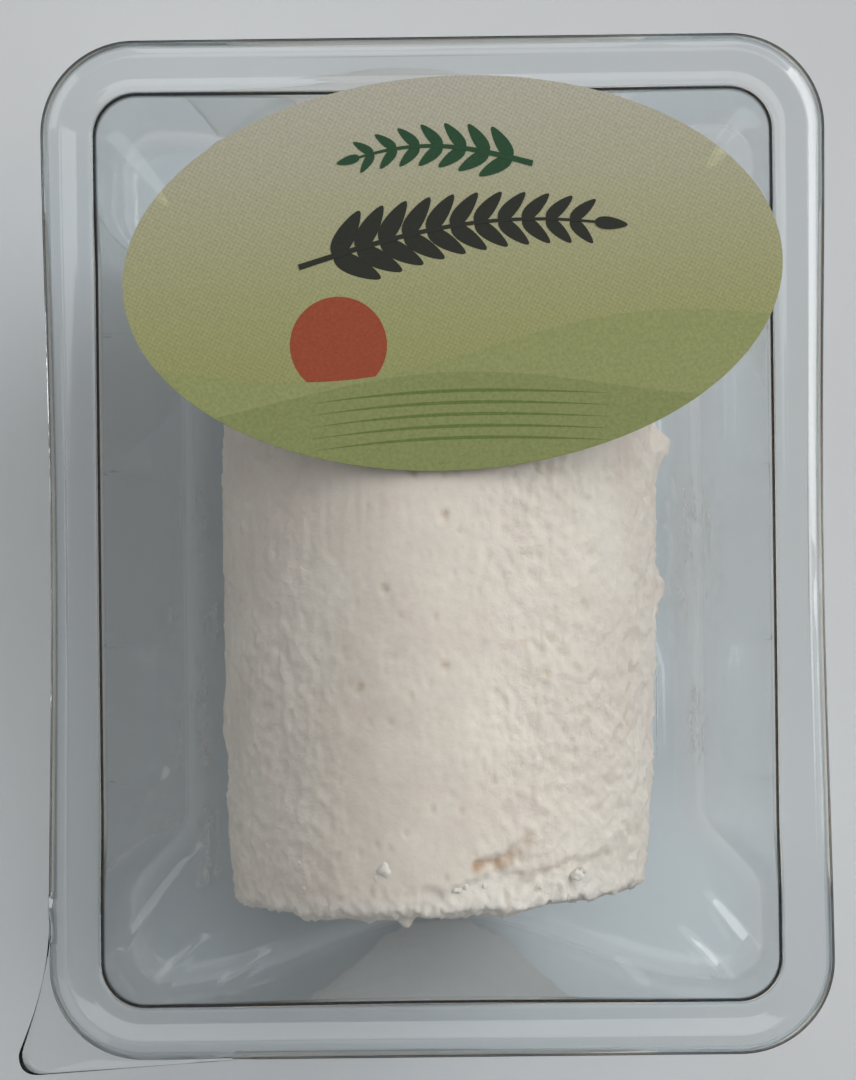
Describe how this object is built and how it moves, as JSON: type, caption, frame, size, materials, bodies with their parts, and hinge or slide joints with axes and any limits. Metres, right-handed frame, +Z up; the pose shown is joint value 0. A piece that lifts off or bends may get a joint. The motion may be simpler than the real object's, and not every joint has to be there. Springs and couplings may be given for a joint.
{
  "type": "packed goat cheese log",
  "caption": "Log of fresh goat cheese in a clear sealed tray with lidding film and peel tab, an oval paper label on the film and a plain paper label under the base.",
  "frame": {"origin": "middle of the flat underside of the tray's base, between the two pads", "axes": "+X across the pack, +Y along the log towards the labelled end, +Z up out of the film"},
  "size_m": [0.1041, 0.1329, 0.0577],
  "materials": {
    "clear_tray": "clear thermoformed polyester sheet, smooth and glossy",
    "lidding_film": "thin clear heat-sealed film, glossy, slightly wrinkled at the corners",
    "printed_paper": "coated label paper printed in yellow-greens, satin",
    "plain_paper": "plain off-white label paper, matte",
    "fresh_curd": "moist fresh curd, soft and slightly crumbly, warm off-white"
  },
  "bodies": {
    "root": {"tray": "clear_tray", "lid_film": "lidding_film", "front_label": "printed_paper", "back_label": "plain_paper", "cheese_log": "fresh_curd"}
  },
  "joints": []
}
